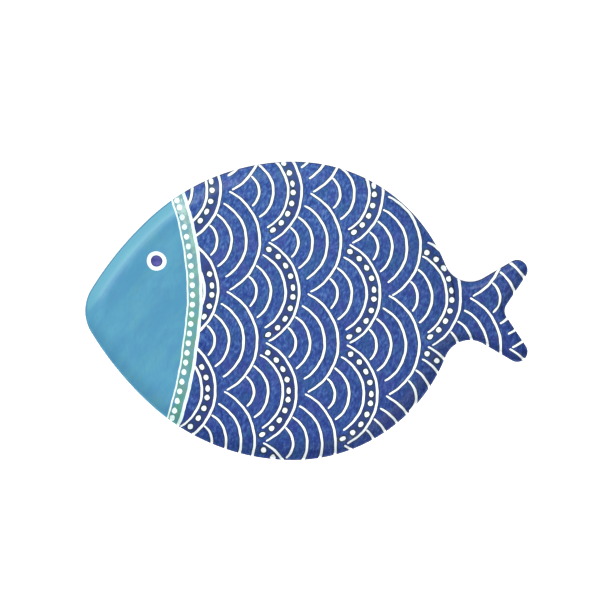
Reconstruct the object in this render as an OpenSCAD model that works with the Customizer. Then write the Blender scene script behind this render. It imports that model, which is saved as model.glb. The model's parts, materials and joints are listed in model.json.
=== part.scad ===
// Fish shaped serving platter: one moulded dish with a fused decorative print.
// The nose points to -X, the tail to +X, the back of the fish to +Y, and the platter stands on Z = 0.
// All lengths are in millimetres and all angles in degrees.

/* [Outline] */
// Length from the nose to the tips of the tail
platter_length = 406; // [380:1:440]
// Width across the widest part of the body
body_width = 274; // [250:1:300]
// Distance from the nose to the widest part
nose_to_widest = 191; // [175:1:210]
// Radius of the rounded nose
nose_radius = 38; // [32:1:46]
// How much tighter the shoulder bends than one plain arc from nose to widest part would
shoulder_tightness = 12; // [4:1:20]
// Length from the waist to the tips of the tail
tail_length = 53; // [46:1:64]
// Width across the waist, where the tail begins
waist_width = 54; // [48:1:64]
// Radius of the hollow at the waist
waist_radius = 24; // [20:1:30]
// Width across the two tail tips
tail_span = 94; // [86:1:106]
// Radius of each tail tip
tip_radius = 9.6; // [9:0.1:12]
// Depth of the notch between the tail tips
notch_depth = 21; // [15:0.5:26]
// Radius at the bottom of the notch
notch_radius = 10; // [6:0.5:14]

/* [Dish] */
// Thickness of the moulded wall
wall = 3; // [2.5:0.1:4]
// Half thickness of the rounded lip, seen from above
lip_radius = 1.5; // [1:0.1:2]
// Width of the sloping rim round the body
rim_width = 18; // [14:0.5:24]
// Height of the lip above the floor of the dish
rim_rise = 9.5; // [6:0.5:13]
// Width of the sloping rim round the tail
tail_rim_width = 8; // [6:0.25:8.75]
// Height of the lip above the floor of the tail
tail_rim_rise = 4.5; // [3:0.25:6]
// Height of the foot under the floor
foot_height = 3; // [2:0.25:5]
// Width of the foot
foot_width = 5; // [3:0.5:8]
// Distance from the foot of the rim in to the outside of the foot
foot_setback = 4; // [1:0.5:10]

/* [Print layers] */
// Thickness of the coloured foil fused to the dish
foil_thickness = 0.4; // [0.2:0.05:0.8]
// Thickness of the printed lines and dots
ink_thickness = 0.3; // [0.2:0.05:0.6]
// Room left between one printed layer and the next
layer_gap = 0.05; // [0.02:0.01:0.1]
// Turn of the print on the dish
print_turn = -1.5; // [-4:0.5:4]

/* [Scale pattern] */
// Distance between columns of scales
column_step = 37.3; // [33:0.1:42]
// Distance between scales in a column
scale_pitch = 92.2; // [86:0.1:98]
// Distance from the nose to the tailward edge of the first column
first_column_from_nose = 121.1; // [113:0.1:128]
// Height of the middle of a scale in the first column
first_scale_y = 16; // [-10:0.5:40]
// Radius of a scale's outer line
outer_line_radius = 50.7; // [48:0.1:54]
// Radius of a scale's second line
second_line_radius = 38.2; // [35:0.1:40]
// Radius of a scale's third line
third_line_radius = 28; // [25:0.1:31]
// Radius of a scale's inner line
inner_line_radius = 17.6; // [15:0.1:20]
// Setback of the second line from the outer one, along the fish
second_line_back = 12.4; // [11:0.1:14]
// Setback of the third line from the outer one
third_line_back = 26; // [24:0.1:28]
// Setback of the inner line from the outer one
inner_line_back = 39.2; // [37:0.1:41]
// Width of the printed lines
line_width = 2.3; // [1.6:0.1:3]
// Gap between the end of a line and the scale that covers it
line_gap = 2.4; // [1:0.1:4]
// Radius of the dots in the dotted scales
dot_radius = 2.8; // [2:0.1:3.5]
// Distance between those dots
dot_step = 10.4; // [8:0.1:12]

/* [Head] */
// Distance from the nose to the gill band's front edge, on the middle line
gill_from_nose = 94; // [86:0.5:104]
// Width of the gill band
gill_width = 12.3; // [9:0.1:15]
// Radius of the gill band's curve
gill_radius = 300; // [240:5:360]
// Width of the gill band's front line
gill_front_line = 1.9; // [1.2:0.1:3]
// Width of the gill band's rear line
gill_rear_line = 2.9; // [1.6:0.1:4]
// Radius of the dots in the gill band
gill_dot_radius = 2.7; // [2:0.1:3.2]
// Distance between those dots
gill_dot_step = 8.9; // [8:0.1:12]
// Distance from the gill band's front edge to its row of dots
gill_dot_inset = 4.6; // [4:0.1:6.5]
// Height of the dot nearest the middle line
gill_first_dot_y = 3; // [-4:0.5:4]
// Distance from the nose to the eye, along the fish
eye_from_nose = 65.5; // [55:0.5:72]
// Height of the eye above the middle line
eye_y = 45.5; // [30:0.5:55]
// Diameter of the white ring round the eye
eye_ring_diameter = 18.4; // [14:0.2:24]
// Diameter of the pupil
eye_pupil_diameter = 10.8; // [7:0.2:13]

/* [Hidden] */
$fn = 48;

// Heights of the layers
floor_bottom_z = foot_height;
lip_z = floor_bottom_z + wall + rim_rise;
foil_lift = foil_thickness + layer_gap;

// Counts of points on the stretches of the outline, and steps down the rim
nose_steps = 4;
cheek_steps = 6;
jaw_steps = 2;
gill_steps = 2;
shoulder_steps = 8;
back_steps = 14;
waist_steps = 6;
lobe_root_steps = 2;
lobe_steps = 3;
tip_steps = 4;
rim_steps = 4;
floor_steps = 8;
lip_angles = [45, 0, -45];
// Share of the turn from the widest part to the nose that the shoulder takes before the cheek
cheek_share = 0.65;
// Length of one straight piece of a printed line, and sides of a printed dot
line_step = 8;
dot_sides = 10;
// Columns and rows of scales that can reach the dish, and the columns that dotted scales may be in
scale_columns = 9;
scale_rows = 3;
dotted_columns = 7;
// Angle between tests along a line
test_angle = 2;
// Columns of the foil's floor over which the gill's curve straightens out
bulge_columns = 10;
// Steps of the searches for the gill's place on the edge and for a point's place on the rim
gill_tries = 24;
gill_tests = 270;
inset_tries = 4;
// Angle by which a point may lie beside an arc and still be measured against it
angle_slack = 0.01;

// Small tools
function direction(a) = [cos(a), sin(a)];
function turned(p, a) = [p.x * cos(a) - p.y * sin(a), p.x * sin(a) + p.y * cos(a)];
function angle_of(p) = atan2(p.y, p.x);
function wrapped(a) = a - 360 * round(a / 360);
function clamped(v) = max(0, min(1, v));
function mix(a, b, t) = a + (b - a) * t;
function reversed(list) = [for (i = [len(list) - 1:-1:0]) list[i]];

// Arcs of the upper half of the outline, from the nose to the notch
half_width = body_width / 2;
nose_x = -platter_length / 2;
tip_x = platter_length / 2;
first_column_x = nose_x + first_column_from_nose;
gill_x = nose_x + gill_from_nose;
eye_place = [nose_x + eye_from_nose, eye_y];
widest = [nose_x + nose_to_widest, half_width];
nose_centre = [nose_x + nose_radius, 0];
plain_radius = (nose_to_widest ^ 2 + half_width ^ 2 - 2 * nose_to_widest * nose_radius)
    / (2 * (half_width - nose_radius));
nose_turn = angle_of(nose_centre - widest + [0, plain_radius]);
cheek_turn = mix(90, nose_turn, cheek_share);
shoulder_radius = plain_radius - shoulder_tightness;
shoulder_centre = widest - [0, shoulder_radius];
cheek_start = shoulder_centre + shoulder_radius * direction(cheek_turn);
cheek_reach = cheek_start - nose_centre;
cheek_radius = (cheek_reach * cheek_reach - nose_radius ^ 2)
    / (2 * (cheek_reach * direction(cheek_turn) - nose_radius));
cheek_centre = cheek_start - cheek_radius * direction(cheek_turn);
nose_end = angle_of(nose_centre - cheek_centre);
waist_centre = [tip_x - tail_length, waist_width / 2 + waist_radius];
back_run = waist_centre.x - widest.x;
back_drop = half_width - waist_width / 2;
back_radius = (back_run ^ 2 + (back_drop - waist_radius) ^ 2 - waist_radius ^ 2) / (2 * back_drop);
back_centre = widest - [0, back_radius];
back_end = angle_of(waist_centre - back_centre);
back_end_point = back_centre + back_radius * direction(back_end);
tip_centre = [tip_x - tip_radius, tail_span / 2 - tip_radius];
notch_centre = [tip_x - notch_depth + notch_radius, 0];
lobe_reach = tip_centre - waist_centre;
lobe_turn = angle_of(lobe_reach) - acos((waist_radius + tip_radius) / norm(lobe_reach));
notch_reach = tip_centre - notch_centre;
notch_turn = angle_of(notch_reach) + acos((notch_radius + tip_radius) / norm(notch_reach));
tip_middle = (lobe_turn + notch_turn) / 2;

// Each arc is its centre, radius, first and last angle, and 1 where it bulges out or -1 where it is hollow
nose_arc = [nose_centre, nose_radius, 180, nose_end, 1];
cheek_arc = [cheek_centre, cheek_radius, nose_end, cheek_turn, 1];
shoulder_arc = [shoulder_centre, shoulder_radius, cheek_turn, 90, 1];
back_arc = [back_centre, back_radius, 90, back_end, 1];
waist_arc = [waist_centre, waist_radius, back_end + 180, lobe_turn + 360, -1];
tip_arc = [tip_centre, tip_radius, lobe_turn + 180, notch_turn - 180, 1];
notch_arc = [notch_centre, notch_radius, notch_turn, 180, -1];
ARCS = [nose_arc, cheek_arc, shoulder_arc, back_arc, waist_arc, tip_arc, notch_arc];
lobe_outer_edge = [waist_centre + waist_radius * direction(lobe_turn),
    tip_centre - tip_radius * direction(lobe_turn)];
lobe_inner_edge = [tip_centre - tip_radius * direction(notch_turn),
    notch_centre + notch_radius * direction(notch_turn)];
EDGES = [lobe_outer_edge, lobe_inner_edge];

// Depth of a point inside the outline, measured square to the nearest stretch of it
function arc_depth(p, arc) =
    let (reach = p - arc[0], middle = (arc[2] + arc[3]) / 2, spread = abs(arc[3] - arc[2]) / 2)
    let (beside = abs(wrapped(angle_of(reach) - middle)) <= spread + angle_slack)
    beside ? arc[4] * (arc[1] - norm(reach)) : platter_length;
function edge_depth(p, edge) =
    let (run = edge[1] - edge[0], along = (p - edge[0]) * run / (run * run))
    along >= 0 && along <= 1 ? ((p - edge[0]) * [run.y, -run.x]) / norm(run) : platter_length;
function depth_inside(p) =
    let (q = [p.x, abs(p.y)])
    min(concat([for (a = ARCS) arc_depth(q, a)], [for (e = EDGES) edge_depth(q, e)]));

// Section of the rim, which narrows and flattens from the body to the tail
rim_blend_start = back_end_point.x - rim_width;
rim_blend_end = waist_centre.x;
function tail_blend(x) =
    let (t = clamped((x - rim_blend_start) / (rim_blend_end - rim_blend_start)))
    t * t * (3 - 2 * t);
function rim_at(x) = mix(rim_width, tail_rim_width, tail_blend(x));
function rise_at(x) = mix(rim_rise, tail_rim_rise, tail_blend(x));
function rim_height(share) =
    let (step = min(rim_steps - 1, floor(share * rim_steps)))
    let (low = step / rim_steps, high = (step + 1) / rim_steps)
    mix((1 - low) ^ 2, (1 - high) ^ 2, (share - low) * rim_steps);
function top_z(x, share) = lip_z - rise_at(x) * (1 - rim_height(share));
function rim_slope(x, share) = 2 * rise_at(x) * (1 - share) / (rim_at(x) - lip_radius);
function wall_drop(x, share) = wall * sqrt(1 + rim_slope(x, share) ^ 2);
function foil_z(p) =
    let (share = clamped((depth_inside(p) - lip_radius) / (rim_at(p.x) - lip_radius)))
    top_z(p.x, share) + foil_lift;

// The gill band's edges are shallow curves across the fish
function gill_point(x, y) = turned([x - y ^ 2 / (2 * gill_radius), y], print_turn);
function behind_gill(p, x, turn) =
    let (q = turned(p, -turn))
    q.x + q.y ^ 2 / (2 * gill_radius) - x;
function gill_angle(x, turn, low = cheek_turn, high = 90, tries = gill_tries) =
    let (middle = (low + high) / 2, p = shoulder_centre + shoulder_radius * direction(middle))
    tries == 0 ? middle
        : behind_gill(p, x, turn) < 0 ? gill_angle(x, turn, middle, high, tries - 1)
        : gill_angle(x, turn, low, middle, tries - 1);

// Columns: a point of the outline and the way in from it, one for each point of a ring
function arc_columns(arc, from, to, steps) =
    [for (i = [1:steps])
        let (a = mix(from, to, i / steps))
        [arc[0] + arc[1] * direction(a), -arc[4] * direction(a)]];
function edge_columns(edge, steps) =
    let (run = edge[1] - edge[0])
    [for (i = [1:steps]) [mix(edge[0], edge[1], i / steps), [run.y, -run.x] / norm(run)]];
function gill_columns(turn) =
    [for (i = [0:gill_steps])
        let (x = gill_x + gill_width * i / gill_steps)
        let (a = gill_angle(x, turn), p = shoulder_centre + shoulder_radius * direction(a))
        let (q = turned(p, -turn), way = turned([q.y / gill_radius, -1], turn))
        [p, -way / (way * direction(a))]];
function half_columns(turn) =
    let (front = gill_angle(gill_x, turn), rear = gill_angle(gill_x + gill_width, turn))
    let (jaw = arc_columns(shoulder_arc, cheek_turn, front, jaw_steps))
    concat(
        [[[nose_x, 0], [1, 0]]],
        arc_columns(nose_arc, 180, nose_end, nose_steps),
        arc_columns(cheek_arc, nose_end, cheek_turn, cheek_steps),
        [for (i = [0:1:jaw_steps - 2]) jaw[i]],
        gill_columns(turn),
        arc_columns(shoulder_arc, rear, 90, shoulder_steps),
        arc_columns(back_arc, 90, back_end, back_steps),
        arc_columns(waist_arc, back_end + 180, 270, waist_steps),
        arc_columns(waist_arc, 270, lobe_turn + 360, lobe_root_steps),
        edge_columns(lobe_outer_edge, lobe_steps),
        arc_columns(tip_arc, lobe_turn + 180, tip_middle, tip_steps),
        arc_columns(tip_arc, tip_middle, notch_turn - 180, tip_steps),
        edge_columns(lobe_inner_edge, lobe_steps),
        arc_columns(notch_arc, notch_turn, 180, lobe_root_steps));
function mirrored(column) = [[column[0].x, -column[0].y], [column[1].x, -column[1].y]];
UPPER = half_columns(print_turn);
LOWER = half_columns(-print_turn);
LAST = len(UPPER) - 1;
ROUND = 2 * LAST;
COLUMNS = concat(UPPER, [for (i = [LAST - 1:-1:1]) mirrored(LOWER[i])]);
FRONT = nose_steps + cheek_steps + jaw_steps;
REAR = FRONT + gill_steps;
WAIST = REAR + shoulder_steps + back_steps + waist_steps;
WAIST_TO_TIP = (LAST - WAIST) / 2;
function below(i) = (ROUND - i) % ROUND;

// Rings of points round the dish, down its section
function way_in(column, share, tries = inset_tries, x = undef) =
    let (at = is_undef(x) ? column[0].x : x)
    let (p = column[0] + column[1] * mix(lip_radius, rim_at(at), share))
    tries == 0 ? p : way_in(column, share, tries - 1, p.x);
function top_ring(share) = [for (c = COLUMNS) let (p = way_in(c, share)) [p.x, p.y, top_z(p.x, share)]];
function under_ring(share) =
    [for (c = COLUMNS)
        let (p = way_in(c, share))
        [p.x, p.y, top_z(p.x, share) - wall_drop(p.x, share)]];
function lip_ring(a) =
    [for (c = COLUMNS)
        let (p = c[0] + c[1] * lip_radius * (1 - cos(a)))
        [p.x, p.y, lip_z - wall_drop(p.x, 0) / 2 * (1 - sin(a))]];
SHARES = [for (i = [0:rim_steps]) i / rim_steps];
TOP_RINGS = [for (s = SHARES) top_ring(s)];
FOIL_RINGS = concat([lip_ring(lip_angles[0])], TOP_RINGS);
function flat(p) = [p.x, p.y];

// Meshes: a list of points and a list of triangles, clockwise from outside
function quad(a, b, c, d) = [[a, b, c], [a, c, d]];
function band_faces(rows, columns) =
    [for (r = [0:1:rows - 2], c = [0:1:columns - 2])
        let (a = r * columns + c)
        each quad(a, a + 1, a + columns + 1, a + columns)];
function flipped(faces) = [for (f = faces) reversed(f)];
function shifted(faces, by) = [for (f = faces) [for (v = f) v + by]];
function joined(meshes) =
    let (starts = [for (i = 0, s = 0; i < len(meshes); s = s + len(meshes[i][0]), i = i + 1) s])
    [[for (m = meshes) each m[0]], [for (i = [0:1:len(meshes) - 1]) each shifted(meshes[i][1], starts[i])]];
// A surface seen from above, with its border in clockwise order, made into a layer of one thickness
function layer(points, faces, border, thickness) =
    let (n = len(points), m = len(border))
    [concat(points, [for (p = points) p + [0, 0, thickness]]),
        concat(shifted(faces, n), flipped(faces),
            [for (i = [0:m - 1])
                let (a = border[i], b = border[(i + 1) % m])
                each quad(a, b, b + n, a + n)])];
module draw(mesh) {
    polyhedron(points = mesh[0], faces = mesh[1]);
}

// Faces that close a ring across the fish, over the body and over the two tail lobes
function lobe_faces(first = 0) =
    [for (i = [0:WAIST_TO_TIP - 1])
        let (o = WAIST + i, n = LAST - i)
        each concat(
            quad(first + o, first + o + 1, first + n - 1, first + n),
            quad(first + below(n), first + below(n - 1), first + below(o + 1), first + below(o)))];
function body_faces(first = 0) =
    [for (i = [0:WAIST - 1])
        each quad(first + i, first + i + 1, first + below(i + 1), first + below(i))];
function closing_faces(first = 0) =
    let (waist_face = [first + WAIST, first + LAST, first + below(WAIST)])
    proper(concat(body_faces(first), [waist_face], lobe_faces(first)));
function proper(faces) = [for (f = faces) if (f[0] != f[1] && f[1] != f[2] && f[2] != f[0]) f];

// The moulded dish
module platter_body() {
    rings = concat(
        reversed(TOP_RINGS),
        [for (a = lip_angles) lip_ring(a)],
        [for (s = SHARES) under_ring(s)]);
    last_ring = (len(rings) - 1) * ROUND;
    sides = [for (r = [0:len(rings) - 2], c = [0:ROUND - 1])
        let (a = r * ROUND + c, b = r * ROUND + (c + 1) % ROUND)
        each quad(a, a + ROUND, b + ROUND, b)];
    color("white") {
        draw([[for (r = rings) each r], concat(sides, closing_faces(), flipped(closing_faces(last_ring)))]);
        foot();
    }
}

// The foot runs round the floor of the body and closes straight across in front of the tail
module foot() {
    foot_columns = REAR + shoulder_steps + back_steps;
    outside = rim_width + foot_setback;
    linear_extrude(floor_bottom_z + wall / 2)
        difference() {
            polygon(foot_line(outside, foot_columns));
            polygon(foot_line(outside + foot_width, foot_columns));
        }
}
function foot_line(depth, last) =
    let (half = [for (i = [0:last]) UPPER[i][0] + UPPER[i][1] * depth])
    let (other = [for (i = [last:-1:1]) LOWER[i][0] + LOWER[i][1] * depth])
    concat(half, [for (p = other) [p.x, -p.y]]);

// The head's foil runs round the nose and ends at the gill band
module head_foil() {
    columns = concat([for (i = [FRONT:-1:1]) below(i)], [for (i = [0:FRONT]) i]);
    count = len(columns);
    rows = len(FOIL_RINGS);
    grid = [for (r = [rows - 1:-1:0], c = columns) FOIL_RINGS[r][c]];
    curve = [for (i = [1:floor_steps - 1]) gill_floor(gill_x, i / floor_steps)];
    inner_faces = [for (i = [0:FRONT - 1])
        each quad(FRONT + i, FRONT + i + 1, FRONT - i - 1, FRONT - i)];
    ends = concat([count - 1], [for (i = [0:len(curve) - 1]) len(grid) + i], [0]);
    curve_faces = [for (i = [1:len(ends) - 2]) [ends[0], ends[i], ends[i + 1]]];
    border = concat(
        [for (c = [0:count - 1]) (rows - 1) * count + c],
        [for (r = [rows - 2:-1:1]) r * count + count - 1],
        ends,
        [for (r = [1:rows - 2]) r * count]);
    faces = proper(concat(flipped(band_faces(rows, count)), inner_faces, curve_faces));
    color("#5fa5c8") draw(layer(concat(grid, curve), faces, border, foil_thickness));
}

// A point of the floor on a gill curve, from the upper rim to the lower one
function gill_floor(x, share) =
    let (i = FRONT + round((x - gill_x) / gill_width * gill_steps))
    let (a = TOP_RINGS[rim_steps][i], b = TOP_RINGS[rim_steps][below(i)])
    let (bulge = x - (turned(flat(a), -print_turn).x + turned(flat(b), -print_turn).x) / 2)
    mix(a, b, share) + [1, 0, 0] * bulge * 4 * share * (1 - share);

// The gill band's foil crosses the whole dish between the head and the scales
module gill_foil() {
    rows = len(FOIL_RINGS);
    places = [for (i = [0:gill_steps]) i];
    upper = [for (r = [0:rows - 1]) [for (i = places) FOIL_RINGS[r][FRONT + i]]];
    middle = [for (s = [1:floor_steps - 1])
        [for (i = places) gill_floor(gill_x + gill_width * i / gill_steps, s / floor_steps)]];
    lower = [for (r = [rows - 1:-1:0]) [for (i = places) FOIL_RINGS[r][below(FRONT + i)]]];
    grid = concat(upper, middle, lower);
    color("#78b9b4") draw(sheet(grid, foil_thickness));
}

// A layer over a grid of points whose rows run down and whose columns run to the right, seen from above
function sheet(grid, thickness) =
    let (rows = len(grid), columns = len(grid[0]))
    let (border = concat(
        [for (c = [0:columns - 1]) c],
        [for (r = [1:1:rows - 1]) r * columns + columns - 1],
        [for (c = [columns - 2:-1:0]) (rows - 1) * columns + c],
        [for (r = [rows - 2:-1:1]) r * columns]))
    layer([for (row = grid) each row], band_faces(rows, columns), border, thickness);

// The scales' foil runs from the gill band over the body and into both tail lobes
module scale_foil() {
    columns = concat([for (i = [REAR:LAST]) i], [for (i = [LAST - 1:-1:REAR]) below(i)]);
    count = len(columns);
    rows = len(FOIL_RINGS);
    grid = [for (r = [rows - 1:-1:0], c = columns) FOIL_RINGS[r][c]];
    across = [for (i = [REAR:WAIST]) [for (s = [1:floor_steps - 1]) floor_point(i, s / floor_steps)]];
    function at(i, s) = s == 0 ? i - REAR
        : s == floor_steps ? count - 1 - (i - REAR)
        : len(grid) + (i - REAR) * (floor_steps - 1) + s - 1;
    inner_faces = [for (i = [REAR:WAIST - 1], s = [0:floor_steps - 1])
        each quad(at(i, s), at(i + 1, s), at(i + 1, s + 1), at(i, s + 1))];
    waist_faces = [for (s = [0:floor_steps - 1]) [at(WAIST, s), LAST - REAR, at(WAIST, s + 1)]];
    function lower(i) = count - 1 - (i - REAR);
    tail_faces = [for (i = [0:WAIST_TO_TIP - 1])
        let (o = WAIST + i, n = LAST - i)
        each concat(
            quad(o - REAR, o + 1 - REAR, n - 1 - REAR, n - REAR),
            quad(lower(n), lower(n - 1), lower(o + 1), lower(o)))];
    border = concat(
        [for (c = [0:count - 1]) (rows - 1) * count + c],
        [for (r = [rows - 2:-1:1]) r * count + count - 1],
        [for (s = [floor_steps:-1:0]) at(REAR, s)],
        [for (r = [1:rows - 2]) r * count]);
    faces = proper(concat(flipped(band_faces(rows, count)), inner_faces, waist_faces, tail_faces));
    points = concat(grid, [for (row = across) each row]);
    color("#4a66a0") draw(layer(points, faces, border, foil_thickness));
}
function floor_point(i, share) =
    let (a = TOP_RINGS[rim_steps][i], b = TOP_RINGS[rim_steps][below(i)])
    let (first = TOP_RINGS[rim_steps][REAR], other = TOP_RINGS[rim_steps][below(REAR)])
    let (edge_bulge = gill_floor(gill_x + gill_width, 0.5) - mix(first, other, 0.5))
    let (bulge = edge_bulge.x * max(0, 1 - (i - REAR) / bulge_columns))
    mix(a, b, share) + [1, 0, 0] * bulge * 4 * share * (1 - share);

// A printed line: a low ridge along a list of flat points
function ridge(path, width) =
    let (n = len(path))
    let (points = [for (i = [0:n - 1])
        let (run = path[min(n - 1, i + 1)] - path[max(0, i - 1)])
        let (side = [-run.y, run.x] / norm(run) * width / 2)
        each [
            on_foil(path[i] + side),
            on_foil(path[i], ink_thickness),
            on_foil(path[i] - side),
            on_foil(path[i])]])
    let (faces = [for (i = [0:n - 2])
        let (left = 4 * i, crest = left + 1, right = left + 2, base = left + 3)
        each concat(
            quad(left, left + 4, crest + 4, crest),
            quad(crest, crest + 4, right + 4, right),
            quad(base, right, right + 4, base + 4),
            quad(left, base, base + 4, left + 4))])
    let (end = 4 * (n - 1))
    [points, concat(faces, quad(3, 0, 1, 2), quad(end + 3, end + 2, end + 1, end))];
function on_foil(p, lift = 0) = [p.x, p.y, foil_z(p) + lift];

// A printed dot: a low dome on the foil
function dome(p, radius, lift = 0) =
    let (rim = [for (i = [0:dot_sides - 1]) on_foil(p + radius * direction(-i * 360 / dot_sides), lift)])
    [concat(rim, [on_foil(p, lift), on_foil(p, lift + ink_thickness)]),
        [for (i = [0:dot_sides - 1])
            let (next = (i + 1) % dot_sides)
            each [[i, next, dot_sides + 1], [next, i, dot_sides]]]];

// The two white lines along the gill band
module gill_lines() {
    color("white") draw(joined([
        ridge(gill_path(gill_x), gill_front_line),
        ridge(gill_path(gill_x + gill_width), gill_rear_line)]));
}
function gill_path(x) =
    let (tests = [for (i = [0:gill_tests]) mix(half_width, -half_width, i / gill_tests)])
    let (heights = [for (y = tests) if (depth_inside(gill_point(x, y)) > lip_radius) y])
    let (top = heights[0], bottom = heights[len(heights) - 1], steps = ceil((top - bottom) / line_step))
    [for (i = [0:steps]) gill_point(x, mix(top, bottom, i / steps))];

// The row of dots along the gill band
module gill_dots() {
    count = ceil(half_width / gill_dot_step);
    places = [for (i = [-count:count])
        gill_point(gill_x + gill_dot_inset, gill_first_dot_y + i * gill_dot_step)];
    room = lip_radius + gill_dot_radius;
    color("white") draw(joined([for (p = places) if (depth_inside(p) > room) dome(p, gill_dot_radius)]));
}

// Scales: each is its place in the pattern, with the covering scales one column nearer the head
function scale_place(column, row) =
    [first_column_x + column * column_step, first_scale_y + (row + abs(column % 2) / 2) * scale_pitch];
function covered(p, column, row) =
    let (upper = column % 2 == 0 ? row : row + 1)
    min([for (cover = [upper - 1, upper])
        norm(p - line_point(scale_place(column - 1, cover), outer_line_radius, 0, 0))])
        < outer_line_radius + line_gap;
function line_point(place, back, radius, a) = place - [back + radius, 0] + radius * direction(a);
cusp_angle = asin(min(1, scale_pitch / 2 / outer_line_radius));
function shown(p, column, row, room) =
    let (q = turned(p, print_turn))
    depth_inside(q) > lip_radius + room
        && behind_gill(q, gill_x + gill_width, print_turn) > gill_rear_line / 2 + room
        && !covered(p, column, row);
function run_end(flags, i) = i + 1 < len(flags) && flags[i + 1] ? run_end(flags, i + 1) : i;
function runs(flags) =
    [for (i = [0:len(flags) - 1])
        if (flags[i] && (i == 0 || !flags[i - 1]))
            let (last = run_end(flags, i))
            if (last > i) [i, last]];
// The stretches of a scale's line or band that show, each as its first and last angle
TEST_ANGLES = [for (a = [-cusp_angle:test_angle:cusp_angle]) a];
function shown_runs(points, column, row, room) =
    let (flags = [for (p = points) shown(p, column, row, room)])
    [for (r = runs(flags)) [TEST_ANGLES[r[0]], TEST_ANGLES[r[1]]]];
function run_angles(ends, radius) =
    let (steps = max(1, ceil(radius * (ends[1] - ends[0]) * PI / 180 / line_step)))
    [for (i = [0:steps]) mix(ends[0], ends[1], i / steps)];
LINES = [[0, outer_line_radius], [second_line_back, second_line_radius],
    [third_line_back, third_line_radius], [inner_line_back, inner_line_radius]];
COLUMN_RANGE = [0:scale_columns - 1];
DOTTED_RANGE = [0:2:dotted_columns - 1];
ROW_RANGE = [-scale_rows:scale_rows];

// The white lines of all the scales
module scale_lines() {
    color("white") draw(joined([for (column = COLUMN_RANGE, row = ROW_RANGE, line = LINES)
        let (place = scale_place(column, row), back = line[0], radius = line[1])
        let (points = [for (a = TEST_ANGLES) line_point(place, back, radius, a)])
        for (ends = shown_runs(points, column, row, line_width / 2))
            let (angles = run_angles(ends, radius))
            ridge([for (a = angles) turned(line_point(place, back, radius, a), print_turn)], line_width)]));
}

// The dark bands between the two outer lines of every other column
band_inset = line_width / 2 + layer_gap;
band_width = second_line_back - 2 * band_inset;
band_thickness = ink_thickness / 2;
band_radius = (outer_line_radius + second_line_radius) / 2;
function band_point(place, a, share) =
    mix(line_point(place, second_line_back - band_inset, second_line_radius + band_inset, a),
        line_point(place, band_inset, outer_line_radius - band_inset, a), share);
module dot_bands() {
    color("#323c78") draw(joined([for (column = DOTTED_RANGE, row = ROW_RANGE)
        let (place = scale_place(column, row))
        let (points = [for (a = TEST_ANGLES) band_point(place, a, 0.5)])
        for (ends = shown_runs(points, column, row, band_width / 2))
            sheet(band_grid(place, run_angles(ends, band_radius)), band_thickness)]));
}
function band_grid(place, angles) =
    [for (a = reversed(angles))
        [for (share = [0, 0.5, 1]) on_foil(turned(band_point(place, a, share), print_turn))]];

// The white dots along those bands
module scale_dots() {
    angle_step = dot_step / band_radius * 180 / PI;
    count = round(cusp_angle / angle_step);
    room = dot_radius + line_width;
    color("white") draw(joined([for (column = DOTTED_RANGE, row = ROW_RANGE, i = [-count:count - 1])
        let (p = band_point(scale_place(column, row), (i + 0.5) * angle_step, 0.5))
        if (shown(p, column, row, room))
            dome(turned(p, print_turn), dot_radius, band_thickness + layer_gap)]));
}

// The eye lies on the head's foil
module eye_disc(diameter, height) {
    translate([eye_place.x, eye_place.y, foil_z(eye_place)])
        cylinder(d = diameter, h = height);
}
module eye_ring() {
    color("white")
        difference() {
            eye_disc(eye_ring_diameter, ink_thickness);
            translate([0, 0, -ink_thickness]) eye_disc(eye_pupil_diameter + 2 * layer_gap, 3 * ink_thickness);
        }
}
module eye_pupil() {
    color("#3c4687") eye_disc(eye_pupil_diameter, ink_thickness);
}

platter_body();
head_foil();
gill_foil();
scale_foil();
gill_lines();
gill_dots();
scale_lines();
dot_bands();
scale_dots();
eye_ring();
eye_pupil();
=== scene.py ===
"""Fish shaped serving platter: its finish, floor, lights and camera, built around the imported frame.

Lengths are in metres and angles in radians. The nose points to -X, the tail to +X, the back of the
fish to +Y, and the platter stands on Z = 0.
"""
import json
import math
import random
from collections import namedtuple

import bmesh
import bpy
import numpy as np
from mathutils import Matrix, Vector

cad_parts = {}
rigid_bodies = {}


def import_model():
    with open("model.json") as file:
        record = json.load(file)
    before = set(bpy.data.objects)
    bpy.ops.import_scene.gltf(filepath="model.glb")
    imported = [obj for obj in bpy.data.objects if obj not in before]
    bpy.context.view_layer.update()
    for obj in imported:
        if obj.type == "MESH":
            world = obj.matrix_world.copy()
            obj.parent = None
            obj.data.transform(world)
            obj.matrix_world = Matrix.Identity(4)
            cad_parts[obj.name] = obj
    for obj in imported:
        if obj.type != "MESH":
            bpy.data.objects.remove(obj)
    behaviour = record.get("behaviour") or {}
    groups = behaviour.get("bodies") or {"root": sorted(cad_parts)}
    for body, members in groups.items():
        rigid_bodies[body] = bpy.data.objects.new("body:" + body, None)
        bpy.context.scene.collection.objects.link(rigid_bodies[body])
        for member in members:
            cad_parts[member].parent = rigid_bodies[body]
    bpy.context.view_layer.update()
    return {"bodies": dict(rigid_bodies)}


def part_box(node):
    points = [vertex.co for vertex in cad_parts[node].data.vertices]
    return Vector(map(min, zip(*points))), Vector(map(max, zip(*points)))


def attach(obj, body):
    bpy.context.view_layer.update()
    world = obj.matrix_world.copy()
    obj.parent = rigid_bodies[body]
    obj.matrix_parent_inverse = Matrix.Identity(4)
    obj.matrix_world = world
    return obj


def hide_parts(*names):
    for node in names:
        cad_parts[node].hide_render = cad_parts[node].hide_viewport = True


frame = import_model()

MM = 0.001
DEGREE = math.pi / 180
DOWN = 1.5 * math.pi
DRAWING_SEED = 7
drawing = random.Random(DRAWING_SEED)

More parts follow.
